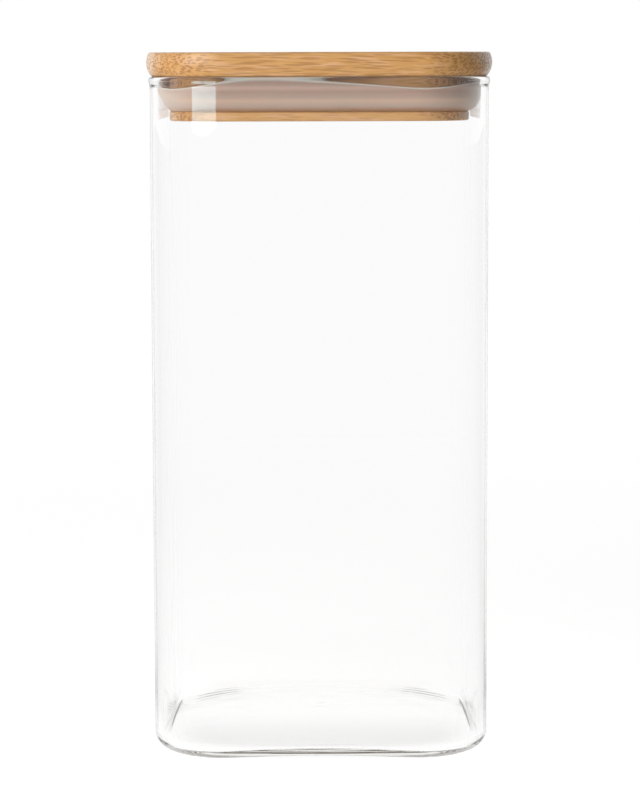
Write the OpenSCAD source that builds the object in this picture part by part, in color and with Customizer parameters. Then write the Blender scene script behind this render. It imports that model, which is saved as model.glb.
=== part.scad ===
// Square glass storage jar with a push-in bamboo lid and a silicone lip seal.
// Millimetres. The jar stands on z = 0 with the Z axis up through its middle, and the
// fibres of the bamboo run along X. Every wall, plug and seal is a profile carried round
// the same rounded square, so their corners share four centres.

/* [Jar] */
// Outside width and depth of the glass, face to face
jar_w = 100; // [80:1:140]
// Height of the glass, from its feet to the top of the rim
jar_h = 201; // [60:1:320]
// Radius of the four upright corners, seen from above
jar_corner_r = 22; // [18:0.5:30]
// Thickness of the glass wall
wall = 2.2; // [1.6:0.1:3]
// Bulge of the fire-polished rim past the outside of the wall
rim_bulge = 0.4; // [0.2:0.1:1]
// Height missing from the top of the rim's bead, which leaves a flat seat for the lid
rim_seat_cut = 0.3; // [0.1:0.05:0.5]

/* [Base] */
// Outside radius of the edge between the walls and the base
base_edge_r = 5; // [4:0.5:9]
// Thickness of the glass in the base
base_t = 2.4; // [1.8:0.1:5]
// Height of the pushed-up dome under the middle of the base
push_up = 4; // [2:0.5:8]
// Width left flat under each corner, which are the four feet
foot_w = 4; // [2:0.5:6]
// Height that the jar's lower edge bows up between the feet
bow_up = 1.4; // [0.5:0.1:1.8]

/* [Lid] */
// Number of bamboo staves glued face to face in the board that the lid is milled from
stave_count = 17; // [9:1:20]
// Thickness of the cap that rests on the rim
cap_t = 7.2; // [6.5:0.1:10]
// Overhang of the cap past the glass on each side
cap_overhang = 1; // [0:0.1:4]
// Depth of the cap's widest line below its top, where its rounded edge swells out furthest
cap_widest_drop = 3; // [2:0.1:3.2]
// Width of the rim's flat seat that the cap's underside covers before its edge draws in
cap_bearing = 0.95; // [0.2:0.05:1.2]

/* [Plug] */
// Space between the inside of the glass and the side of the plug
plug_gap = 3.6; // [3:0.1:5]
// Thickness of the plug's flange, under the seal's groove
flange_t = 2.8; // [2:0.1:5]
// Depth of the seal's groove into the plug
groove_depth = 4; // [2.5:0.1:5]
// Height of that groove
groove_h = 5; // [4:0.1:7]
// Height of the plug's land, from the groove up to the cap
land_h = 5; // [4:0.1:7]
// Radius on the outer edges of the flange and of the land
plug_ease_r = 0.6; // [0.2:0.1:0.9]
// Distance from the side of the plug out to the first glue line
glue_line_gap = 0.4; // [0.2:0.1:1]

/* [Seal] */
// Space between the relaxed lip and the inside of the glass
seal_gap = 0.25; // [0.1:0.05:0.6]
// Space between the tip of the lip and the cap
lip_headroom = 2.2; // [1:0.1:3]
// Thickness of the lip and of the web under it
lip_t = 1.2; // [0.8:0.1:1.6]
// Outside radius of the turn from the web into the lip
lip_turn_r = 3.2; // [2:0.1:4]
// Lean of the lip outwards from upright, in degrees
lip_flare = 8; // [0:1:15]
// Thickness of the collar that grips the plug
collar_t = 1.6; // [1:0.1:2.4]
// Space between the top of the collar and the top of the groove
collar_play = 0.2; // [0.1:0.05:0.5]

/* [Hidden] */
$fn = 128;
dome_fn = 256;
overlap = 1;

// The four corner centres lie at plus and minus this distance from the middle
core = jar_w / 2 - jar_corner_r;

// Radii about the corner centres, from the outside in
cap_r = jar_corner_r + cap_overhang;
inside_r = jar_corner_r - wall;
lip_r = inside_r - seal_gap;
plug_r = inside_r - plug_gap;
neck_r = plug_r - groove_depth;

// The rim's bead stands flush with the inside of the wall, and is cut off flat for the seat
rim_bead_r = (wall + rim_bulge) / 2;
seat_half_w = sqrt(rim_bead_r ^ 2 - (rim_bead_r - rim_seat_cut) ^ 2);
seat_inner_r = inside_r + rim_bead_r - seat_half_w;
bead_z = jar_h - rim_bead_r + rim_seat_cut;

// The cap's rounded edge is one arc, from its widest line in to where it leaves the seat
cap_widest_z = cap_t - cap_widest_drop;
cap_draw_in = cap_r - seat_inner_r - cap_bearing;
cap_edge_r = (cap_widest_z ^ 2 + cap_draw_in ^ 2) / (2 * cap_draw_in);

// Heights, with the cap's underside resting on the rim
board_t = cap_t + land_h + groove_h + flange_t;
land_z = jar_h - land_h;
seal_z = land_z - groove_h;
plug_z = seal_z - flange_t;

// The dome under the base is a cap of a large sphere that stops short of the corners
inner_edge_r = base_edge_r - wall;
dome_rim_r = core * sqrt(2) + jar_corner_r - base_edge_r - foot_w;
dome_r = (dome_rim_r ^ 2 + push_up ^ 2) / (2 * push_up);

// The bow of each lower edge is an arc that reaches from foot to foot
bow_half_w = core + foot_w / 2;
bow_r = (bow_half_w ^ 2 + bow_up ^ 2) / (2 * bow_up);

// The lip's straight part, and the centre of the turn below it
seal_h = groove_h + land_h - lip_headroom;
collar_h = groove_h - collar_play;
lip_mid_r = lip_turn_r - lip_t / 2;
lip_len = (seal_h - lip_turn_r - lip_t / 2 + lip_mid_r * sin(lip_flare)) / cos(lip_flare);
turn_r = lip_r - lip_t / 2 - lip_mid_r * cos(lip_flare) - lip_len * sin(lip_flare);

// Whole staves fill the plug, and the part staves left at the edges only reach the cap
cap_w = jar_w + 2 * cap_overhang;
whole_staves_w = 2 * (core + plug_r + glue_line_gap);
stave_t = whole_staves_w / (stave_count - 2);
bamboo_tones = ["#d3a05c", "#c8924f", "#dbac6b"];

// Place along Y of the far face of a stave, counted from the front
function stave_face(i) =
    i == 0 ? -cap_w / 2 - overlap :
    i == stave_count ? cap_w / 2 + overlap :
    -whole_staves_w / 2 + (i - 1) * stave_t;

function stave_name(i) = str("lid_stave_", i < 10 ? "0" : "", i);

// Carries a profile round the rounded square. The profile's x is the distance out from
// the corner centres and its y is the height.
module around_square() {
    for (turn = [0:90:270])
        rotate(turn) translate([core, core, 0]) {
            rotate_extrude(angle = 90) children();
            rotate([90, 0, 0]) linear_extrude(2 * core) children();
        }
}

// Block that fills the square between the corner centres
module core_block(z, height) {
    translate([-core, -core, z]) cube([2 * core, 2 * core, height]);
}

// Quarter of a disc, below and to the right of its centre
module quarter_disc(r) {
    intersection() {
        circle(r);
        translate([0, -r]) square(r);
    }
}

// Half section of a vessel's side: an upright wall that turns in at the bottom
module vessel_side(edge_r, floor_z, top_z) {
    translate([jar_corner_r - base_edge_r, floor_z + edge_r]) {
        quarter_disc(edge_r);
        square([edge_r, top_z - floor_z - edge_r]);
    }
}

module jar_wall_profile() {
    difference() {
        vessel_side(base_edge_r, 0, bead_z);
        vessel_side(inner_edge_r, base_t, bead_z + overlap);
    }
    intersection() {
        translate([inside_r + rim_bead_r, bead_z]) circle(rim_bead_r);
        square([inside_r + 2 * rim_bead_r + overlap, jar_h]);
    }
}

// Ball whose top rises to the given height on the Z axis
module dome_ball(r, top_z) {
    translate([0, 0, top_z - r]) sphere(r, $fn = dome_fn);
}

// Round bars along X and Y, whose tops hollow the four lower edges
module bow_bars() {
    for (turn = [0, 90])
        rotate(turn) translate([0, 0, bow_up - bow_r]) rotate([90, 0, 0])
            cylinder(jar_w + 2 * overlap, r = bow_r, center = true, $fn = dome_fn);
}

module glass_jar() {
    mid_wall_r = jar_corner_r - wall / 2;
    color("#e4f0ee", 0.35)
    difference() {
        union() {
            around_square() jar_wall_profile();
            around_square() square([jar_corner_r - base_edge_r, base_t]);
            core_block(0, base_t);
            intersection() {
                dome_ball(dome_r + base_t, push_up + base_t);
                union() {
                    around_square() translate([0, base_t / 2]) square([mid_wall_r, push_up + base_t]);
                    core_block(base_t / 2, push_up + base_t);
                }
            }
        }
        dome_ball(dome_r, push_up);
        bow_bars();
    }
}

// Half section of the cap: a flat slab with a rounded, swelling edge
module cap_profile() {
    middle_x = cap_r - cap_edge_r;
    square([middle_x, cap_t]);
    intersection() {
        translate([middle_x, cap_widest_z]) circle(cap_edge_r);
        translate([middle_x - overlap, 0]) square([cap_edge_r + 2 * overlap, cap_t]);
    }
}

// Half section of a slab as wide as the plug, with both of its outer edges eased
module plug_slab_profile(height) {
    square([plug_r - plug_ease_r, height]);
    translate([0, plug_ease_r]) square([plug_r, height - 2 * plug_ease_r]);
    for (z = [plug_ease_r, height - plug_ease_r])
        translate([plug_r - plug_ease_r, z]) circle(plug_ease_r);
}

// Half section of the lid. The land runs on into the cap, so that nothing rounds it off there.
module lid_profile() {
    translate([0, jar_h]) cap_profile();
    translate([0, plug_z]) square([neck_r, board_t - cap_t / 2]);
    translate([0, plug_z]) plug_slab_profile(flange_t);
    translate([0, land_z]) plug_slab_profile(land_h + cap_t / 2);
}

// The whole lid, as if it were milled from one solid board
module lid_board() {
    around_square() lid_profile();
    core_block(plug_z, board_t);
}

module lid_stave(i) {
    color(bamboo_tones[i % len(bamboo_tones)])
    intersection() {
        lid_board();
        translate([-cap_w / 2 - overlap, stave_face(i - 1), plug_z - overlap])
            cube([cap_w + 2 * overlap, stave_face(i) - stave_face(i - 1), board_t + 2 * overlap]);
    }
}

// Everything on the inner side of a line that runs in level, turns up on the given radius
// about the origin and then leans out
module inside_turn(r, length) {
    reach = 2 * seal_h;
    circle(r);
    translate([-reach, -r]) square([reach, r + reach]);
    rotate(-lip_flare) translate([-reach, 0]) square([reach + r, length]);
}

// Section of the seal: a collar on the plug, a web over the flange, and a lip that turns up
module seal_profile() {
    difference() {
        translate([turn_r, seal_z + lip_turn_r]) {
            difference() {
                inside_turn(lip_turn_r, lip_len);
                inside_turn(lip_turn_r - lip_t, lip_len + overlap);
            }
            rotate(-lip_flare) translate([lip_mid_r, lip_len]) circle(d = lip_t);
        }
        translate([neck_r - jar_w, 0]) square([jar_w, jar_h]);
    }
    translate([neck_r, seal_z]) square([collar_t, collar_h]);
}

module seal_ring() {
    color("#b3a198") around_square() seal_profile();
}

glass_jar();
seal_ring();
for (i = [1:stave_count])
    lid_stave(i);
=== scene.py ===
# %% [markdown]
# # A square glass jar with a bamboo lid
# The real object is a canister for dry food: a square jar of clear glass, and a bamboo lid that is
# pushed into it and held by a soft silicone seal. The sizes and places come from the CAD model, which
# is loaded first and then never moved. Everything below is in metres, with Z up and the jar on z = 0.

# %% Load the frame
import math

import bmesh
import bpy
from mathutils import Matrix, Vector


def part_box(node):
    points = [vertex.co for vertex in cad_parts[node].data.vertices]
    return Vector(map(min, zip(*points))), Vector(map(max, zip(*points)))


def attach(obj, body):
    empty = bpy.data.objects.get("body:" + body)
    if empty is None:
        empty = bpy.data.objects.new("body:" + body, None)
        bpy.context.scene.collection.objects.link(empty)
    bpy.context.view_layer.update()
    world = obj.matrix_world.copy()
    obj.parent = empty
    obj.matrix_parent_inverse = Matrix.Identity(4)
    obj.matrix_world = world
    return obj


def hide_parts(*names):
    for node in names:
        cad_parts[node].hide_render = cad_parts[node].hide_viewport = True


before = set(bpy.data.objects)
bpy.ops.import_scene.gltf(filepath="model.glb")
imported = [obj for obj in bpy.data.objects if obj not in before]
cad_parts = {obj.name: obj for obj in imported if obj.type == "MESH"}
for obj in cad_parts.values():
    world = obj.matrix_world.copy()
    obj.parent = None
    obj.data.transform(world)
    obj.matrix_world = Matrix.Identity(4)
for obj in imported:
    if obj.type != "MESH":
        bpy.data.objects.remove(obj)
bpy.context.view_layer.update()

# %% [markdown]
# ## Sizes
# The jar, the lid and the seal are all profiles carried round one rounded square, so the four centres
# of its corners matter most. What the CAD boxes show is read from them. The rest are the drawing's own
# sizes, in millimetres as a maker would quote them.

# %% Driving sizes
MM = 0.001

jar_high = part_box("glass_jar")[1]
seal_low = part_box("seal_ring")[0]
board_low, board_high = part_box("lid_stave_09")

rim_bulge = 0.4 * MM
corner_r = 22 * MM
wall = 2.2 * MM
base_edge_r = 5 * MM
base_t = 2.4 * MM
push_up = 4 * MM
bow_up = 1.4 * MM
foot_w = 4 * MM

core = jar_high.x - rim_bulge - corner_r
inside_r = corner_r - wall
jar_top = jar_high.z
seal_z = seal_low.z
cap_top = board_high.z
plug_z = board_low.z
cap_r = board_high.x - core

print("corner centres at", round(core / MM, 2), "mm, inside radius", round(inside_r / MM, 2), "mm")

# %% [markdown]
# ## The camera
# The photograph looks a little down on the jar from the front, with a long lens, so the upright edges
# stay almost parallel. The height, the distance and the lens were found by laying the CAD model's
# outline over the photograph's. The camera is rolled by a hair, as the photographer's was.

# %% Place the camera
camera_distance = 0.897
camera_height = 0.206
camera_pitch = math.radians(6.63)
camera_roll = math.radians(-0.15)
camera_lens = 131.8

camera_data = bpy.data.cameras.new("photo_camera")
camera_data.lens = camera_lens
camera_data.sensor_width = 36
camera = bpy.data.objects.new("photo_camera", camera_data)
bpy.context.collection.objects.link(camera)
camera.matrix_world = (
    Matrix.Translation((0, -camera_distance, camera_height))
    @ Matrix.Rotation(math.pi / 2 - camera_pitch, 4, "X")
    @ Matrix.Rotation(camera_roll, 4, "Z")
)
bpy.context.scene.camera = camera
bpy.context.scene.view_settings.view_transform = "Standard"
print("camera", round(camera_distance, 3), "m in front,", round(camera_height, 3), "m up")

# %% [markdown]
# ## Shader maths
# Materials here are sums of noises and distances. Placing Math nodes by hand hides the sum, so one
# small class wraps a socket: ordinary arithmetic on it adds the Math nodes, and one method adds any
# other node from its type, its settings and what goes into its sockets.

# %% A socket that can be used in arithmetic
class Wire:
    """An output socket of a node tree, or the bare tree while it has none."""

    def __init__(self, tree, socket=None):
        self.tree = tree
        self.socket = socket

    def node(self, kind, settings=None, sockets=None, output=0):
        made = self.tree.nodes.new("ShaderNode" + kind)
        for key, value in (settings or {}).items():
            if key == "stops":
                set_stops(made.color_ramp, value)
            else:
                setattr(made, key, value)
        for key, value in (sockets or {}).items():
            if isinstance(value, Wire):
                self.tree.links.new(value.socket, made.inputs[key])
            else:
                made.inputs[key].default_value = value
        return Wire(self.tree, made.outputs[output]) if len(made.outputs) else made

    def math(self, operation, *terms):
        return self.node("Math", {"operation": operation}, dict(enumerate(terms)))

    def __add__(self, other):
        return self.math("ADD", self, other)

    def __radd__(self, other):
        return self.math("ADD", other, self)

    def __sub__(self, other):
        return self.math("SUBTRACT", self, other)

    def __rsub__(self, other):
        return self.math("SUBTRACT", other, self)

    def __mul__(self, other):
        return self.math("MULTIPLY", self, other)

    def __rmul__(self, other):
        return self.math("MULTIPLY", other, self)

    def __truediv__(self, other):
        return self.math("DIVIDE", self, other)

    def __abs__(self):
        return self.math("ABSOLUTE", self)

    def part(self, axis):
        return self.node("SeparateXYZ", {}, {0: self}, axis)


def set_stops(ramp, stops):
    """Gives a colour ramp its stops, each a place from 0 to 1 and a colour."""
    while len(ramp.elements) < len(stops):
        ramp.elements.new(1)
    for element, (place, colour) in zip(ramp.elements, stops):
        element.position = place
        element.color = (*colour, 1)


def new_material(name):
    """An empty node material and the wire that its nodes start from."""
    material = bpy.data.materials.new(name)
    material.use_nodes = True
    material.node_tree.nodes.clear()
    return material, Wire(material.node_tree)


def mixed(wire, amount, first, second):
    """A colour that goes from the first to the second as the amount goes from 0 to 1."""
    return wire.node("Mix", {"data_type": "RGBA"}, {0: amount, 6: first, 7: second}, 2)


def smooth_step(value, low, high):
    """0 below low, 1 above high and smooth between."""
    return value.node("MapRange", {"interpolation_type": "SMOOTHSTEP"},
                      {"Value": value, "From Min": low, "From Max": high})


def larger(first, second):
    """The larger of two values."""
    return first.math("MAXIMUM", first, second)


print("shader maths ready")

# %% [markdown]
# ## The room's light
# The photograph was taken against a white backdrop in a darker room: the jar stands out against pure
# white, yet the bamboo isn't overexposed. So the world's strength depends on what a ray is for. A ray
# that shows the background, straight or through glass, finds white. A ray mirrored once on the way finds
# white behind the jar, less overhead and a dim room elsewhere, which greys the glass faintly. A ray that
# gathers light for a matt surface finds a modest grey from the backdrop and very little from the room, so
# that colours render about as they are written, and a black flag on the right keeps that end of the lid
# in shade. One window at the left front is bright, but only for light that was turned back inside the
# wall of the jar, because the photograph shows it as a single pale patch over the seal.

# %% Kinds of rays
def seen_rays(wire, once):
    """Values that are 1 for rays that show what they meet, that were mirrored once on the way to it,
    and that were mirrored inside the wall of the jar. once is the depth counted for one mirroring."""
    straight = wire.node("LightPath", output="Is Camera Ray")
    through = wire.node("LightPath", output="Is Transmission Ray")
    bounced = wire.node("LightPath", output="Is Glossy Ray")
    turns = wire.node("LightPath", output="Ray Depth")
    matt = wire.node("LightPath", output="Diffuse Depth")
    unlit = matt.math("LESS_THAN", matt, 0.5)
    mirrored = turns.math("COMPARE", turns, once, 0.5) * larger(bounced, through) * unlit
    in_wall = turns.math("COMPARE", turns, once + 2, 0.5) * through * unlit
    shown = larger(straight, through) * unlit * (1 - mirrored)
    return shown, mirrored, in_wall


world = bpy.data.worlds.new("white_tent")
bpy.context.scene.world = world
world.use_nodes = True
world.node_tree.nodes.clear()
tent = Wire(world.node_tree)
shown, mirrored, in_wall = seen_rays(tent, 2)
direction = tent.node("TexCoord", output="Generated")
toward_right = direction.part("X")
toward_back = direction.part("Y")
upward = direction.part("Z")
print("world sorted into seen, mirrored and gathered light")

# %% [markdown]
# The window's bearing and size were set so that its reflection falls where the photograph has it. A level
# direction and a ray's own are compared by their dot product, so the window is a patch with soft edges.

# %% Window
WINDOW_SEEN = 9.3
WINDOW_COLOUR = (0.65, 0.92, 1, 1)
WINDOW_BEARING = math.radians(32.8)
WINDOW_HALF_W = math.sin(math.radians(20.4))
WINDOW_MIDDLE = 0.08
WINDOW_HALF_H = 0.1015
SIDE_BLUR = 0.01
SILL_BLUR = 0.001


def toward(x, y):
    """How far a ray of the tent points in a level direction, from -1 to 1."""
    return tent.node("VectorMath", {"operation": "DOT_PRODUCT"}, {0: direction, 1: (x, y, 0)}, "Value")


beside = toward(-math.cos(WINDOW_BEARING), math.sin(WINDOW_BEARING))
in_front = toward(-math.sin(WINDOW_BEARING), -math.cos(WINDOW_BEARING))
window = (
    (1 - smooth_step(abs(beside), WINDOW_HALF_W - SIDE_BLUR, WINDOW_HALF_W + SIDE_BLUR))
    * (1 - smooth_step(abs(upward - WINDOW_MIDDLE), WINDOW_HALF_H - SILL_BLUR, WINDOW_HALF_H + SILL_BLUR))
    * smooth_step(in_front, 0, 0.1) * in_wall
)
print("window", round(math.degrees(WINDOW_BEARING), 1), "degrees to the left of the camera")

# %% [markdown]
# The strengths are then added up, each times the rays that it is meant for. Where a value goes over from
# one part of the room to another, a smooth step keeps the edge out of the reflections.

# %% Light the room
BACKDROP_FILL = 0.3
ROOM_FILL = 0.08
ROOM_SEEN = 0.15
CEILING_SEEN = 0.5
BOUNCES = 64

flagged = smooth_step(toward_right, -0.3, 0.4) * (1 - smooth_step(toward_back, 0.1, 0.6))
backdrop_share = smooth_step(toward_back, -0.5, 0.2)
on_matt = (ROOM_FILL + (BACKDROP_FILL - ROOM_FILL) * backdrop_share) * (1 - flagged)
bright = larger(smooth_step(toward_back, -0.3, 0.6), CEILING_SEEN * smooth_step(upward, 0.1, 0.5))
in_mirror = ROOM_SEEN + (1 - ROOM_SEEN) * bright
strength = shown + mirrored * in_mirror + WINDOW_SEEN * window + (1 - shown - mirrored) * on_matt
colour = mixed(tent, window, (1, 1, 1, 1), WINDOW_COLOUR)
background = tent.node("Background", {}, {"Color": colour, "Strength": strength})
tent.node("OutputWorld", {}, {"Surface": background})

# Light is turned back many times inside thick glass before it gets out
paths = bpy.context.scene.cycles
paths.max_bounces = BOUNCES
paths.glossy_bounces = BOUNCES
paths.transmission_bounces = BOUNCES
print("white backdrop around the object")

# %% [markdown]
# One big softbox stands at the left front, and its left-to-right fall-off models the rounded ends of the
# lid. An area lamp is the nearest thing to it, and its size sets how soft the shadows are. Its power is
# worked out from its area and the brightness of its face, which is what shows in a reflection.

# %% Softbox
SOFTBOX_BEARING = math.radians(39)
SOFTBOX_DISTANCE = 1.2
SOFTBOX_W = 0.9
SOFTBOX_H = 1.3
SOFTBOX_BRIGHTNESS = 3.75

softbox_data = bpy.data.lights.new("softbox", "AREA")
softbox_data.shape = "RECTANGLE"
softbox_data.size = SOFTBOX_W
softbox_data.size_y = SOFTBOX_H
softbox_data.energy = math.pi * SOFTBOX_W * SOFTBOX_H * SOFTBOX_BRIGHTNESS
softbox = bpy.data.objects.new("softbox", softbox_data)
bpy.context.collection.objects.link(softbox)
level_way = Vector((-math.sin(SOFTBOX_BEARING), -math.cos(SOFTBOX_BEARING), 0))
softbox.location = level_way * SOFTBOX_DISTANCE
softbox.rotation_euler = (-softbox.location).to_track_quat("-Z", "Y").to_euler()
softbox.location.z = SOFTBOX_H / 2
softbox.visible_camera = False
print("softbox at", [round(v, 2) for v in softbox.location])

# %% [markdown]
# ## The floor
# A sheet of white card. For rays that show it, most of its brightness is given and a smaller part is
# lit, so it renders white beside the jar but still takes a faint shadow; a painted shadow makes it deepest
# under the front half of the jar, where the photograph has a grey haze above the base. Further off it goes
# over into the plain white of the backdrop, so that no horizon shows. Mirrored once in the glass it is
# dim, except behind the jar and close to it. For rays that gather light it is a table lit faintly from
# below, less so at the right, which lifts the rounded underside of the lid's edge as in the photograph.

# %% Places on the card
CARD_NEAR = 0.25
CARD_FAR = 0.7

card, paper = new_material("white_card")
shown, mirrored = seen_rays(paper, 1)[:2]
card_place = paper.node("TexCoord", output="Object")
card_x = card_place.part("X")
card_y = card_place.part("Y")
from_jar = paper.node("VectorMath", {"operation": "LENGTH"}, {0: card_place}, "Value")
far_off = smooth_step(from_jar, CARD_NEAR, CARD_FAR)
behind_jar = smooth_step(card_y / from_jar, 0.45, 0.9)
clear_of_jar = smooth_step(from_jar, 0.06, 0.1)

# A root of fourth powers measures a distance whose rings are rounded squares, like the jar's base
fourth_powers = card_x * card_x * card_x * card_x + card_y * card_y * card_y * card_y
from_middle = fourth_powers.math("POWER", fourth_powers, 0.25)
# Painted shadow: the card is made darker under the front half of the jar
painted_shadow_under_jar = (1 - smooth_step(from_middle, 0.036, 0.05)) * (1 - smooth_step(card_y, -0.03, 0.015))
print("card seen plainly within", CARD_NEAR, "m of the jar")

# %% [markdown]
# The card's shader has two sides, what is seen of it and the light that it gives, and a Mix Shader picks
# one by the kind of ray. What changes from place to place goes into the colour of a plain emission.

# %% White card
CARD_GLOW = 0.87
CARD_LIT = (0.4, 0.4, 0.4, 1)
CARD_MATT = (0.65, 0.65, 0.65, 1)
CARD_LAMP = 0.58
CARD_LAMP_LOSS = 0.6
CARD_PAINTED_SHADOW = 0.21
CARD_SEEN = 0.1

dimmed = 1 - (1 - CARD_SEEN) * mirrored * (1 - behind_jar) * clear_of_jar
# The card's glow less the painted shadow under the jar
shaded = (CARD_GLOW - CARD_PAINTED_SHADOW * painted_shadow_under_jar) * dimmed
glow = paper.node("Emission", {}, {"Color": shaded, "Strength": 1})
lit = paper.node("BsdfDiffuse", {}, {"Color": CARD_LIT})
near_by = paper.node("AddShader", {}, {0: glow, 1: lit})
white = paper.node("Emission", {}, {"Color": dimmed, "Strength": 1})
as_seen = paper.node("MixShader", {}, {0: far_off, 1: near_by, 2: white})
matt = paper.node("BsdfDiffuse", {}, {"Color": CARD_MATT})
from_below = CARD_LAMP * (1 - CARD_LAMP_LOSS * smooth_step(card_x, 0, 0.3))
lamp_below = paper.node("Emission", {}, {"Color": from_below, "Strength": 1})
as_lamp = paper.node("AddShader", {}, {0: matt, 1: lamp_below})
face = paper.node("MixShader", {}, {0: shown + mirrored, 1: as_lamp, 2: as_seen})
paper.node("OutputMaterial", {}, {"Surface": face})

floor_half = 6
floor_mesh = bpy.data.meshes.new("floor")
floor_mesh.from_pydata(
    [(-floor_half, -floor_half, 0), (floor_half, -floor_half, 0),
     (floor_half, floor_half, 0), (-floor_half, floor_half, 0)],
    [], [(0, 1, 2, 3)],
)
floor_mesh.materials.append(card)
floor = bpy.data.objects.new("floor", floor_mesh)
bpy.context.collection.objects.link(floor)
print("floor", 2 * floor_half, "m square")

# %% [markdown]
# ## Carrying a profile round the square
# Glass, seal and lid have the same plan: straight sides and round corners. A station is a point on the
# square between the corner centres together with the direction out from it. A profile point then only
# needs its distance out and its height, and one row of points per profile point makes the skin.

# %% Stations and skins
SHARP_ANGLE = math.radians(40)


def make_stations(corner_steps, side_steps):
    """Points round the square of the corner centres, each with its outward direction."""
    found = []
    for quarter in range(4):
        turn = quarter * math.pi / 2
        here = corner_centre(turn)
        after = corner_centre(turn + math.pi / 2)
        for step in range(corner_steps):
            angle = turn + math.pi / 2 * step / corner_steps
            found.append((here, Vector((math.cos(angle), math.sin(angle), 0))))
        out = Vector((math.cos(turn + math.pi / 2), math.sin(turn + math.pi / 2), 0))
        for step in range(side_steps):
            found.append((here.lerp(after, step / side_steps), out))
    return found


def corner_centre(turn):
    """The corner centre that lies a half right angle past this turn."""
    angle = turn + math.pi / 4
    reach = core * math.sqrt(2)
    return Vector((reach * math.cos(angle), reach * math.sin(angle), 0))


def row_at(stations, out, z):
    """One row of points round the square, at this distance out and this height."""
    return [base + away * out + Vector((0, 0, z)) for base, away in stations]


def skin(bm, rows, closed=False):
    """Faces between rows of points that run round the square. Returns the rows' vertices."""
    placed = [[bm.verts.new(point) for point in row] for row in rows]
    pairs = list(zip(placed, placed[1:]))
    if closed:
        pairs.append((placed[-1], placed[0]))
    for low, high in pairs:
        for i in range(len(low)):
            bm.faces.new((low[i - 1], low[i], high[i], high[i - 1]))
    return placed


def piece_from(bm, name, material, body, slot, *nodes):
    """Turns the built mesh into a piece that rides on a body, and hides the CAD nodes that it stands in
    for.
    """
    bmesh.ops.recalc_face_normals(bm, faces=bm.faces)
    mesh = bpy.data.meshes.new(name)
    bm.to_mesh(mesh)
    bm.free()
    mesh.materials.append(material)
    mesh.shade_smooth()
    mesh.set_sharp_from_angle(angle=SHARP_ANGLE)
    piece = bpy.data.objects.new(name, mesh)
    bpy.context.collection.objects.link(piece)
    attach(piece, body)
    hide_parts(*nodes)
    return piece


print("stations for one corner and side:", len(make_stations(12, 6)) // 4)

# %% [markdown]
# ## Glass
# Clear soda-lime or borosilicate glass is a little green-grey through its depth: the walls look clear
# face on and darker along their upright edges and in the base, where the eye looks through a hand's
# width of it. Real depth does that by itself if the jar is a closed shell with absorption inside. The
# surface of a blown jar isn't dead flat either, so a very low, slow ripple bends what shows through it.
# Lamps shine straight through it, because tracing focused light would only add noise.

# %% Glass finish
GLASS_IOR = 1.47
ABSORPTION_COLOUR = (0.62, 0.64, 0.59, 1)
ABSORPTION_PER_METRE = 4
LET_THROUGH = (0.97, 0.97, 0.97, 1)

glass, melt = new_material("clear_glass")
place = melt.node("TexCoord", output="Object")
ripple = melt.node("TexNoise", {}, {"Vector": place, "Scale": 55, "Detail": 1})
handling = melt.node("TexNoise", {}, {"Vector": place, "Scale": 24, "Detail": 4})
ripple_bump = melt.node("Bump", {}, {"Strength": 0.06, "Distance": 0.001, "Height": ripple})
smears = melt.node("MapRange", {}, {"Value": handling, "From Min": 0.55, "From Max": 0.8,
                                    "To Min": 0, "To Max": 0.02})
clear = melt.node("BsdfPrincipled", {}, {
    "Base Color": (1, 1, 1, 1), "Roughness": smears, "IOR": GLASS_IOR,
    "Transmission Weight": 1, "Normal": ripple_bump,
})
open_air = melt.node("BsdfTransparent", {}, {"Color": LET_THROUGH})
lamp_ray = melt.node("LightPath", output="Is Shadow Ray")
surface = melt.node("MixShader", {}, {0: lamp_ray, 1: clear, 2: open_air})
depth = melt.node("VolumeAbsorption", {}, {"Color": ABSORPTION_COLOUR, "Density": ABSORPTION_PER_METRE})
melt.node("OutputMaterial", {}, {"Surface": surface, "Volume": depth})
print("glass finish made")

# %% [markdown]
# The jar's underside is pushed up in a shallow dome and its lower edges sagged upwards as the glass
# cooled, so it stands on four feet at its corners and bows up between them. That is a smooth maximum of
# three heights: the rounded edge of the base, the dome and the bow. The inside has only the dome, and
# meets it in a softer curve, as blown glass does.

# %% Base heights
FOOT_BLEND = 0.2 * MM
FLOOR_BLEND = 0.9 * MM

dome_rim_r = core * math.sqrt(2) + corner_r - base_edge_r - foot_w
dome_r = (dome_rim_r ** 2 + push_up ** 2) / (2 * push_up)
bow_half_w = core + foot_w / 2


def smooth_max(a, b, blend):
    """The larger of two heights, rounded over where they meet."""
    return (a + b + math.sqrt((a - b) ** 2 + blend ** 2)) / 2


def dome_height(point, lift):
    """Height of the dome at a point. lift is the glass over it for the inside, or 0 for the underside."""
    radius = dome_r + lift
    reach = min(math.hypot(point.x, point.y), radius)
    return push_up + lift - radius + math.sqrt(radius ** 2 - reach ** 2)


def bow_height(point):
    """Height of the bow under the lower edges at a point."""
    from_middle = min(abs(point.x), abs(point.y)) / bow_half_w
    return bow_up * (1 - from_middle ** 2)


def settle(row, lift):
    """Raises a row of points to the dome and, underneath, to the bow where they stand higher."""
    settled = []
    for point in row:
        height = smooth_max(point.z, dome_height(point, lift), FLOOR_BLEND if lift else FOOT_BLEND)
        if not lift:
            height = smooth_max(height, bow_height(point), FOOT_BLEND)
        settled.append(Vector((point.x, point.y, height)))
    return settled


print("feet inside a circle of", round(dome_rim_r / MM, 1), "mm, bow of", round(bow_up / MM, 1), "mm")

# %% [markdown]
# The rim was melted round after the jar was cut, which leaves a bead that stands out slightly from the
# wall. The shell is one closed skin: out over the underside, up the outside, over the bead, down the
# inside and in across the floor of the jar. The tall walls need an extra row of points close to each end:
# smooth shading leans the normals of a face towards its neighbours, and a whole wall that leans towards
# the bead by two degrees would mirror the wrong part of the room.

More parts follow.
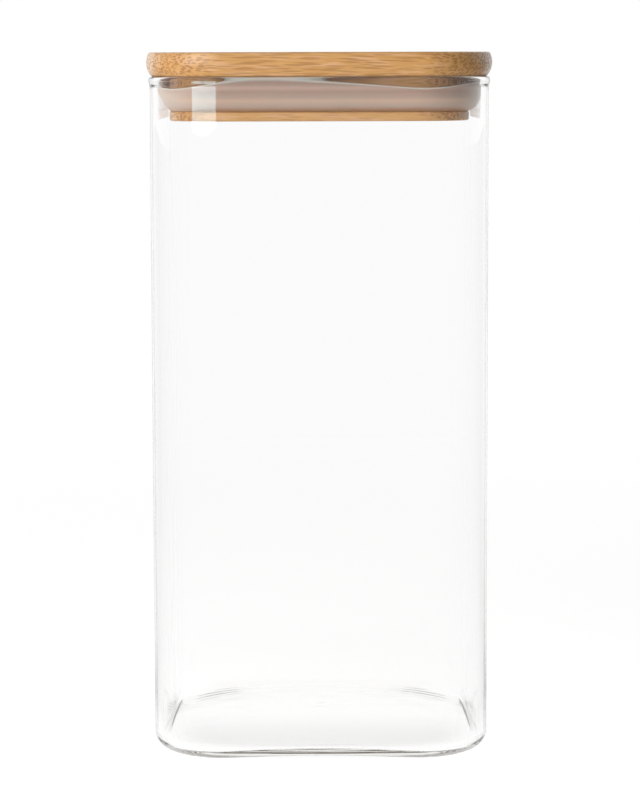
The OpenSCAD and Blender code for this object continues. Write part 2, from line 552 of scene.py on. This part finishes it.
# %% Jar
GLASS_CORNER_STEPS = 84
GLASS_SIDE_STEPS = 20
EDGE_STEPS = 40
FLOOR_RINGS = 28
FLARE_STEPS = 12
RIM_STEPS = 28
SEAT_CUT = 0.3 * MM
FLARE_H = 2.1 * MM
STRAIGHT_FROM = 0.6 * MM

bead_half_w = (wall + rim_bulge) / 2
bead_z = jar_top - bead_half_w + SEAT_CUT
bead_start_z = bead_z - FLARE_H

jar_stations = make_stations(GLASS_CORNER_STEPS, GLASS_SIDE_STEPS)


def ease(t):
    """0 to 1 with a level start and end."""
    return t * t * (3 - 2 * t)


def floor_rings(reach, height, lift):
    """Rings that shrink from this far out towards the middle, raised to the dome."""
    rim = row_at(jar_stations, reach, 0)
    rings = []
    for ring in range(1, FLOOR_RINGS):
        share = 1 - ring / FLOOR_RINGS
        flat = [Vector((point.x * share, point.y * share, height)) for point in rim]
        rings.append(settle(flat, lift))
    return rings


def base_edge(wall_r, edge_r, floor_z, lift):
    """Rows that turn from the base up into the wall on this radius."""
    rows = []
    for step in range(EDGE_STEPS + 1):
        angle = math.pi / 2 * step / EDGE_STEPS
        out = wall_r - edge_r + edge_r * math.sin(angle)
        z = floor_z + edge_r * (1 - math.cos(angle))
        rows.append(settle(row_at(jar_stations, out, z), lift))
    return rows


def rim_rows():
    """Rows up the outside of the bead, over its top and down to the inside of the wall."""
    rows = []
    for step in range(1, FLARE_STEPS + 1):
        share = step / FLARE_STEPS
        z = bead_start_z + (bead_z - bead_start_z) * share
        rows.append(row_at(jar_stations, corner_r + rim_bulge * ease(share), z))
    for step in range(1, RIM_STEPS + 1):
        angle = math.pi * step / RIM_STEPS
        out = inside_r + bead_half_w * (1 + math.cos(angle))
        z = min(jar_top, bead_z + bead_half_w * math.sin(angle))
        rows.append(row_at(jar_stations, out, z))
    return rows


inner_edge_r = base_edge_r - wall
wall_start_z = base_edge_r + STRAIGHT_FROM
wall_stop_z = bead_start_z - STRAIGHT_FROM
outside = floor_rings(corner_r - base_edge_r, 0, 0)[::-1] + base_edge(corner_r, base_edge_r, 0, 0)
outside += [row_at(jar_stations, corner_r, z) for z in (wall_start_z, wall_stop_z, bead_start_z)]
inside = [row_at(jar_stations, inside_r, z) for z in (bead_start_z, wall_stop_z, wall_start_z)]
inside += base_edge(inside_r, inner_edge_r, base_t, base_t)[::-1]
inside += floor_rings(inside_r - inner_edge_r, base_t, base_t)

bm = bmesh.new()
rings = skin(bm, outside + rim_rows() + inside)
for ring, lift in ((rings[0], 0), (rings[-1], base_t)):
    middle = bm.verts.new((0, 0, push_up + lift))
    for i in range(len(ring)):
        bm.faces.new((ring[i - 1], ring[i], middle))
jar = piece_from(bm, "jar_glass", glass, "jar", "glass", "glass_jar")
print("jar skin of", len(jar.data.polygons), "faces")

# %% [markdown]
# A photographer keeps a lamp's reflection off the glass with flags. Light linking does that here: the
# softbox lights everything but the jar, and shines straight through its walls.

# %% Flag the softbox
kept_dark = bpy.data.collections.new("softbox_link")
kept_dark.objects.link(jar)
kept_dark.collection_objects[0].light_linking.link_state = "EXCLUDE"
softbox.light_linking.receiver_collection = kept_dark
print("softbox kept off", jar.name)

# %% [markdown]
# ## Silicone
# The seal is a translucent, warm grey silicone lip. Its colour varies gently with height, as painted light
# and shade: a painted shadow at its foot, darker where it lies flat against the glass, lighter just below,
# where the lip bends away, and lighter again above it. It is painted paler at the left, where the lip
# stands loose, and at the right end, where light comes through it from behind, and its thin edge, which an
# attribute marks on the mesh, carries a painted highlight. Light goes a millimetre or two into it, so it
# takes some subsurface scatter.

# %% Silicone finish
SILICONE_FOOT_SHADOW = (0.44, 0.225, 0.10)
SILICONE_LIP = (0.59, 0.44, 0.36)
SILICONE_BEND_LIT = (0.76, 0.54, 0.415)
SILICONE_PRESSED_SHADE = (0.525, 0.36, 0.29)
SILICONE_UPPER_LIT = (0.67, 0.475, 0.40)
SILICONE_TIP_HIGHLIGHT = (0.93, 0.78, 0.68, 1)
SILICONE_PAINTED_LIGHT = (0.78, 0.63, 0.54, 1)

silicone, gum = new_material("silicone")
spot = gum.node("TexCoord", output="Object")
gum_x = spot.part("X")
gum_height = spot.part("Z")
unevenness = gum.node("TexNoise", {}, {"Vector": spot, "Scale": 160, "Detail": 3})
rise = (gum_height - seal_z) / (jar_top - seal_z) + 0.05 * (unevenness - 0.5)
# Painted light and shade by height: a painted shadow at the foot, painted light at the bend and above the
# pressed band, and painted shade where the lip lies against the glass
tone = gum.node("ValToRGB", {"stops": [
    (0.04, SILICONE_FOOT_SHADOW), (0.16, SILICONE_LIP), (0.32, SILICONE_BEND_LIT), (0.43, SILICONE_LIP),
    (0.58, SILICONE_PRESSED_SHADE), (0.70, SILICONE_UPPER_LIT), (0.82, SILICONE_PRESSED_SHADE),
]}, {"Fac": rise})
# Painted light: the lip is made paler at its loose left end and at its right end, where light shows
# through it
loose = 1 - smooth_step(gum_x, -core - 16 * MM, -core - 4 * MM)
painted_light_right = smooth_step(gum_x, core + 12 * MM, core + 17 * MM)
tone = mixed(gum, 0.6 * loose + 0.7 * painted_light_right, tone, SILICONE_PAINTED_LIGHT)
# Painted highlight along the thin edge of the lip
tip_highlight = gum.node("Attribute", {"attribute_name": "lip_edge"}, {}, "Fac")
tone = mixed(gum, tip_highlight, tone, SILICONE_TIP_HIGHLIGHT)
speckle = gum.node("TexNoise", {}, {"Vector": spot, "Scale": 2400, "Detail": 2})
gum_bump = gum.node("Bump", {}, {"Strength": 0.15, "Distance": 0.0001, "Height": speckle})
gum_roughness = 0.38 + 0.16 * unevenness
rubbery = gum.node("BsdfPrincipled", {}, {
    "Base Color": tone, "Roughness": gum_roughness, "IOR": 1.41, "Normal": gum_bump,
    "Specular IOR Level": 0.2, "Subsurface Weight": 0.8, "Subsurface Scale": 0.003,
    "Subsurface Radius": (1, 0.6, 0.45),
})
gum.node("OutputMaterial", {}, {"Surface": rubbery})
print("silicone finish made")

# %% [markdown]
# Pushed into the jar, the lip bends up against the glass and its thin edge waves: it stands high along
# the sides and dips towards the corners. On the left it leans out and on the right it is pressed more
# upright, because the lid sits a little to the right in the photograph. So the section changes round
# the ring: two outlines of the lip, relaxed and pressed, are mixed at every station, and its tip is
# lowered at the dips.

# %% Seal
SEAL_CORNER_STEPS = 24
SEAL_SIDE_STEPS = 40
LIP_STEPS = 16
TIP_STEPS = 6
LIP_TOP = 9.2 * MM
LIP_THICK = 1.2 * MM
TIP_THICK = 0.7 * MM
TOUCH_GAP = 0.06 * MM
COLLAR_EASE = 0.4 * MM
MERGE_GAP = 0.001 * MM

neck_r = 12.2 * MM
collar_t = 1.6 * MM
collar_h = 4.8 * MM

# Outlines of the lip's outer face: millimetres short of the glass, and height as a share of the lip's
RELAXED_LIP = [(3.9, 0.0), (3.1, 0.09), (1.75, 0.33), (0.55, 0.58), (0.0, 0.76), (0.05, 0.9), (0.25, 1.0)]
PRESSED_LIP = [(3.4, 0.0), (1.9, 0.1), (0.65, 0.28), (0.12, 0.47), (0.0, 0.7), (0.03, 0.88), (0.2, 1.0)]

# Dips of the lip's edge, in millimetres: place round the ring from the middle of the front, half width
# and depth
LIP_DIPS = [
    (-44, 13, 2.8), (17, 18, 1.1), (33, 13, 2.1), (92, 18, 1.6),
    (140, 16, 2.0), (-96, 22, 1.9), (-142, 15, 1.4),
]


def between(points, t):
    """Point at share t of a smooth curve through these points."""
    spans = len(points) - 1
    span = min(int(t * spans), spans - 1)
    u = t * spans - span
    before = points[max(span - 1, 0)]
    start = points[span]
    end = points[span + 1]
    after = points[min(span + 2, spans)]
    found = []
    for a, b, c, d in zip(before, start, end, after):
        found.append(b + u * ((c - a) + u * ((2 * a - 5 * b + 4 * c - d) + u * (3 * (b - c) + d - a))) / 2)
    return found


def ring_places(stations):
    """Distance round the ring of each station from the middle of the front, left being negative."""
    points = [base + away * inside_r for base, away in stations]
    steps = [(points[i] - points[i - 1]).length for i in range(len(points))]
    total = sum(steps)
    front_middle = Vector((0, -core - inside_r, 0))
    front = min(range(len(points)), key=lambda i: (points[i] - front_middle).length)
    places = []
    gone = 0
    for step in steps:
        gone += step
        places.append(gone)
    offsets = [place - places[front] for place in places]
    return [(offset + total / 2) % total - total / 2 for offset in offsets]


def lip_height(place):
    """Height of the lip over the flange at this place round the ring."""
    height = LIP_TOP
    for centre, half_w, depth in LIP_DIPS:
        height -= depth * MM * math.exp(-((place / MM - centre) / half_w) ** 2)
    return height


def seal_section(away, place):
    """Closed section of the seal at a station: collar, web, turned-up lip."""
    press = 0.5 + 0.5 * away.x
    height = lip_height(place)
    reach = inside_r - TOUCH_GAP
    outer = []
    for step in range(LIP_STEPS + 1):
        t = step / LIP_STEPS
        loose = between(RELAXED_LIP, t)
        tight = between(PRESSED_LIP, t)
        short = loose[0] + (tight[0] - loose[0]) * press
        rise = loose[1] + (tight[1] - loose[1]) * press
        outer.append((reach - short * MM, seal_z + rise * height))
    inner = []
    for step in range(LIP_STEPS + 1):
        before = outer[max(step - 1, 0)]
        after = outer[min(step + 1, LIP_STEPS)]
        run = Vector((after[0] - before[0], after[1] - before[1])).normalized()
        thick = LIP_THICK + (TIP_THICK - LIP_THICK) * step / LIP_STEPS
        inner.append((outer[step][0] - run.y * thick, outer[step][1] + run.x * thick))
    tip = []
    for step in range(1, TIP_STEPS):
        angle = math.pi * step / TIP_STEPS
        mid_x = (outer[-1][0] + inner[-1][0]) / 2
        half = (outer[-1][0] - inner[-1][0]) / 2
        tip.append((mid_x + half * math.cos(angle), outer[-1][1] + TIP_THICK / 2 * math.sin(angle)))
    web_top = seal_z + LIP_THICK
    low = [point for point in inner if point[1] > web_top]
    collar_out = neck_r + collar_t
    collar_top = seal_z + collar_h
    collar = [
        (collar_out + COLLAR_EASE, web_top), (collar_out, web_top + COLLAR_EASE),
        (collar_out, collar_top - COLLAR_EASE), (collar_out - COLLAR_EASE, collar_top),
        (neck_r + COLLAR_EASE, collar_top), (neck_r, collar_top - COLLAR_EASE), (neck_r, seal_z),
    ]
    padded = [low[0]] * (len(inner) - len(low)) + low
    return outer + tip + padded[::-1] + collar


seal_stations = make_stations(SEAL_CORNER_STEPS, SEAL_SIDE_STEPS)
sections = [
    seal_section(away, place)
    for (base, away), place in zip(seal_stations, ring_places(seal_stations))
]
seal_rows = []
for step in range(len(sections[0])):
    row = []
    for (base, away), section in zip(seal_stations, sections):
        out, z = section[step]
        row.append(base + away * out + Vector((0, 0, z)))
    seal_rows.append(row)

bm = bmesh.new()
edge_mark = bm.verts.layers.float.new("lip_edge")
placed = skin(bm, seal_rows, closed=True)
# The marked rows carry the painted highlight of the lip's edge
for row in placed[LIP_STEPS:LIP_STEPS + TIP_STEPS]:
    for vert in row:
        vert[edge_mark] = 1
bmesh.ops.remove_doubles(bm, verts=bm.verts, dist=MERGE_GAP)
piece_from(bm, "lip_seal", silicone, "lid", "silicone", "seal_ring")
heights = [lip_height(place) / MM for place in ring_places(seal_stations)]
print("lip from", round(min(heights), 1), "to", round(max(heights), 1), "mm high")

# %% [markdown]
# ## Bamboo
# Bamboo is a grass. Its stem is pale pith threaded by thousands of dark fibre bundles, closer together
# towards the skin, and a strip of it shows them as fine streaks along its length and as dots where it
# is cut across. The texture is therefore solid, not wrapped: cells stretched fifteenfold along X give
# streaks on the long faces and dots on the ends and round the corners, as on the real lid. Each stave
# has its own tone and its own start along the stem, and thin dark glue lines part them.

# %% Bamboo finish
PITH_PALE = (0.80, 0.435, 0.145, 1)
PITH_DEEP = (0.66, 0.325, 0.088, 1)
PITH_BLUSH = (0.84, 0.47, 0.22, 1)
PITH_END_AND_SHEEN = (0.97, 0.74, 0.53, 1)
BUNDLE_PALE = (0.54, 0.245, 0.065, 1)
BUNDLE_DEEP = (0.36, 0.15, 0.037, 1)
BUNDLE_END = (0.36, 0.16, 0.055, 1)
PAINTED_EDGE_SHADOW = (0.17, 0.075, 0.025, 1)
GLUE = (0.30, 0.14, 0.05, 1)

first_glue_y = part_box("lid_stave_02")[0].y
stave_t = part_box("lid_stave_02")[1].y - first_glue_y
stave_names = sorted(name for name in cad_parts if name.startswith("lid_stave_"))
glue_lines = len(stave_names) - 1

bamboo, cane = new_material("bamboo")


def joined(wire, x, y, z):
    """A vector from three values."""
    return wire.node("CombineXYZ", {}, {0: x, 1: y, 2: z})


def held(value, low, high):
    """The value, kept between low and high."""
    return value.node("Clamp", {}, {"Value": value, "Min": low, "Max": high})


spot = cane.node("TexCoord", output="Object")
spot_mm = cane.node("VectorMath", {"operation": "SCALE"}, {0: spot, "Scale": 1000})
x = spot_mm.part("X")
y = spot_mm.part("Y")
z = spot_mm.part("Z")

across = (y - first_glue_y / MM) / (stave_t / MM)
number = held(across.math("FLOOR", across), -1, glue_lines - 1)
within = across - number
chance = number.node("TexWhiteNoise", {"noise_dimensions": "1D"}, {"W": number + 40.3}, "Value")
other_chance = number.node("TexWhiteNoise", {"noise_dimensions": "1D"}, {"W": number + 7.7}, "Value")

flip = other_chance.math("GREATER_THAN", other_chance, 0.5)
skin_side = within + flip * (1 - 2 * within)
print("staves", round(stave_t / MM, 3), "mm thick from", round(first_glue_y / MM, 2), "mm")

# %% [markdown]
# The bundles wander slightly along the stem, and the staves aren't sawn quite along it, so the streaks
# slope a little and run out. All the noises are laid out in the stem, each with so many periods to the
# millimetre along it and across it.

# %% Places in the stem
SAWN_SLOPE = 0.025
WANDER = 0.4

shift = number * 31.7
wander_place = joined(cane, x * 0.05 + shift, y * 0.15, z * 0.15)
wander = cane.node("TexNoise", {}, {"Vector": wander_place, "Scale": 1, "Detail": 2}) - 0.5
stem_y = y + WANDER * wander + 0.5 * SAWN_SLOPE * x
stem_z = z + WANDER * wander + SAWN_SLOPE * x


def stem_place(along, across, start=0):
    """A place in the stem, scaled along and across it."""
    return joined(cane, x * along + shift, stem_y * across, stem_z * across + start)


def stem_noise(along, across, detail):
    """A noise stretched along the stem."""
    return cane.node("TexNoise", {}, {"Vector": stem_place(along, across), "Scale": 1, "Detail": detail})


facing = cane.node("NewGeometry", output="Normal").part("X")
cut_across = smooth_step(abs(facing), 0.02, 0.55)
dry_end_and_sheen = smooth_step(abs(facing), 0.7, 1)
print("streaks slope", SAWN_SLOPE, "to one")

# %% [markdown]
# Cells around scattered points stand for the bundles, a fine noise for the single fibres between them,
# and slow ones for the cloudy tone of steamed bamboo and its rosy blush. Where a surface cuts across the
# fibres their open ends drink more oil, so the dots there are darker than the streaks are on a long face.
# At the very ends the pith between them is dry and pale, and a painted sheen makes it paler still.

# %% Bundles, fibres and tone
bundle_place = stem_place(0.11, 1.7, shift)
bundle_reach = cane.node("TexVoronoi", {"feature": "F1"}, {"Vector": bundle_place, "Scale": 1}, "Distance")
bundle_r = 0.15 + 0.1 * skin_side + 0.12 * cut_across
bundle = 1 - smooth_step(bundle_reach, bundle_r, bundle_r + 0.25 + 0.05 * cut_across)
fibres = stem_noise(0.16, 3, 5)
cloud = stem_noise(0.06, 0.5, 2)
blush = stem_noise(0.09, 1.1, 2)

depth_of_tone = 0.45 * (chance - 0.5) + 0.9 * (cloud - 0.5) + 0.35 * (skin_side - 0.5) + 0.5
pith = mixed(cane, depth_of_tone + 2.6 * (fibres - 0.5), PITH_PALE, PITH_DEEP)
pith = mixed(cane, smooth_step(blush, 0.48, 0.68), pith, PITH_BLUSH)
pith = mixed(cane, 0.4 * cut_across, pith, PITH_DEEP)
# Dry end grain and a painted sheen: the pith is made pale where the surface faces along X
pith = mixed(cane, 0.85 * dry_end_and_sheen, pith, PITH_END_AND_SHEEN)
bundles = mixed(cane, depth_of_tone, BUNDLE_PALE, BUNDLE_DEEP)
bundles = mixed(cane, 0.6 * cut_across, bundles, BUNDLE_END)
wood = mixed(cane, bundle * (0.6 + 0.25 * cut_across), pith, bundles)
print("bundles and fibres in", len(stave_names), "staves")

# %% [markdown]
# Thin glue lines part the staves. A painted shadow darkens the cap's sharp lower edge and the top of the
# land below it, where the cap sits on the rim. The cap, which hands touch, is oiled more than the plug, so
# its coat is stronger.

# %% Glue lines, painted edge shadow and oil
nearest_glue = held(across.math("ROUND", across), 0, glue_lines - 1)
from_glue = (across - nearest_glue) * (stave_t / MM)
glue_line = 1 - smooth_step(abs(from_glue), 0.03, 0.12)
wood = mixed(cane, glue_line * 0.6, wood, GLUE)

over_rim = z - jar_top / MM
# Painted shadow: darker at the cap's lower edge and down the top of the land below it
edge_shadow_mask = smooth_step(over_rim, -1, -0.1) * (1 - smooth_step(over_rim, 0.1, 0.6))
wood = mixed(cane, 0.6 * edge_shadow_mask, wood, PAINTED_EDGE_SHADOW)

grain_height = fibres - 0.5 * bundle - 0.5 * glue_line
grain_bump = cane.node("Bump", {}, {"Strength": 0.35, "Distance": 0.00006, "Height": grain_height})
oiled = 0.36 + 0.2 * fibres + 0.1 * bundle
coat = 0.25 + 0.6 * smooth_step(over_rim, -0.5, 0.5)
board = cane.node("BsdfPrincipled", {}, {
    "Base Color": wood, "Roughness": oiled, "Normal": grain_bump, "IOR": 1.48,
    "Coat Weight": coat, "Coat Roughness": 0.32,
})
cane.node("OutputMaterial", {}, {"Surface": board})
print("bamboo finish made")

# %% [markdown]
# ## The lid
# The maker glues seventeen staves on edge into a board, then mills the flange, the seal's groove, the
# land above it and the swelling edge of the cap. The same order is kept here: the milled outline is
# carried round the square as one skin, and cuts at the glue lines part it into staves. Every sharp edge
# gets the small rounding that sandpaper leaves.

# %% Lid outline
LID_CORNER_STEPS = 36
CAP_STEPS = 20
EASE_STEPS = 5
PLUG_EASE = 0.7 * MM
GROOVE_EASE = 0.3 * MM
SEAT_EASE = 0.25 * MM
TOP_EASE = 0.6 * MM
SWELL_FROM = 0.3 * MM
SWELL_TO = 0.55 * MM

plug_r = 16.2 * MM
land_h = 5 * MM
land_z = jar_top - land_h
cap_widest_z = jar_top + 4.2 * MM
cap_draw_in = 1.78 * MM
cap_edge_r = ((cap_widest_z - jar_top) ** 2 + cap_draw_in ** 2) / (2 * cap_draw_in)


def eased_corner(before, corner, after, reach):
    """Points of a small rounding in place of a corner, reach being where it leaves each side."""
    before, corner, after = Vector(before), Vector(corner), Vector(after)
    start = corner + (before - corner).normalized() * reach
    end = corner + (after - corner).normalized() * reach
    found = []
    for step in range(EASE_STEPS + 1):
        t = step / EASE_STEPS
        found.append(start.lerp(corner, t).lerp(corner.lerp(end, t), t))
    return found


def cap_edge(low_z, high_z):
    """Points up the cap's swelling edge between two heights."""
    centre = cap_r - cap_edge_r
    start = math.asin((low_z - cap_widest_z) / cap_edge_r)
    stop = math.asin((high_z - cap_widest_z) / cap_edge_r)
    found = []
    for step in range(CAP_STEPS + 1):
        angle = start + (stop - start) * step / CAP_STEPS
        out = centre + cap_edge_r * math.cos(angle)
        found.append(Vector((out, cap_widest_z + cap_edge_r * math.sin(angle))))
    return found


swell = cap_edge(jar_top, cap_top)

# Corners of the milled outline from the underside up, each with the reach of its rounding
milled = [
    ((plug_r, plug_z), PLUG_EASE),
    ((plug_r, seal_z), PLUG_EASE),
    ((neck_r, seal_z), GROOVE_EASE),
    ((neck_r, land_z), GROOVE_EASE),
    ((plug_r, land_z), PLUG_EASE),
    ((plug_r, jar_top), GROOVE_EASE),
    (swell[0], SEAT_EASE),
]
corners = [(0, plug_z)] + [corner for corner, reach in milled] + [swell[1]]
outline = []
for before, (corner, reach), after in zip(corners, milled, corners[2:]):
    outline += eased_corner(before, corner, after, reach)
outline += cap_edge(jar_top + SWELL_FROM, cap_top - SWELL_TO)
outline += eased_corner(swell[-2], swell[-1], (0, cap_top), TOP_EASE)
print("lid outline of", len(outline), "points")

# %% [markdown]
# On the real board the glue lines come first and the milling after, so every stave carries its part of
# the milled outline. Cutting a copy of the whole skin on two upright planes gives the same. Each cut is
# closed, so that a stave is a solid piece by itself, and its planes are read from the CAD model.

# %% Cut the staves
CUT_MARGIN = 0.0001 * MM

lid_stations = make_stations(LID_CORNER_STEPS, 1)
whole = bmesh.new()
lid_rows = skin(whole, [row_at(lid_stations, point.x, point.y) for point in outline])
whole.faces.new(lid_rows[0])
whole.faces.new(lid_rows[-1])
bmesh.ops.recalc_face_normals(whole, faces=whole.faces)


def keep_side(bm, y, away):
    """Cuts the mesh on an upright plane, keeps the side against away and closes the cut."""
    cut = bmesh.ops.bisect_plane(
        bm, geom=bm.verts[:] + bm.edges[:] + bm.faces[:], dist=CUT_MARGIN,
        plane_co=(0, y, 0), plane_no=(0, away, 0), clear_outer=True,
    )
    edges = [part for part in cut["geom_cut"] if isinstance(part, bmesh.types.BMEdge)]
    bmesh.ops.edgeloop_fill(bm, edges=edges)


for name in stave_names:
    low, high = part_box(name)
    bm = whole.copy()
    if name != stave_names[0]:
        keep_side(bm, low.y, -1)
    if name != stave_names[-1]:
        keep_side(bm, high.y, 1)
    piece_from(bm, name.removeprefix("lid_"), bamboo, "lid", "bamboo", name)
whole.free()
print(len(stave_names), "staves cut")
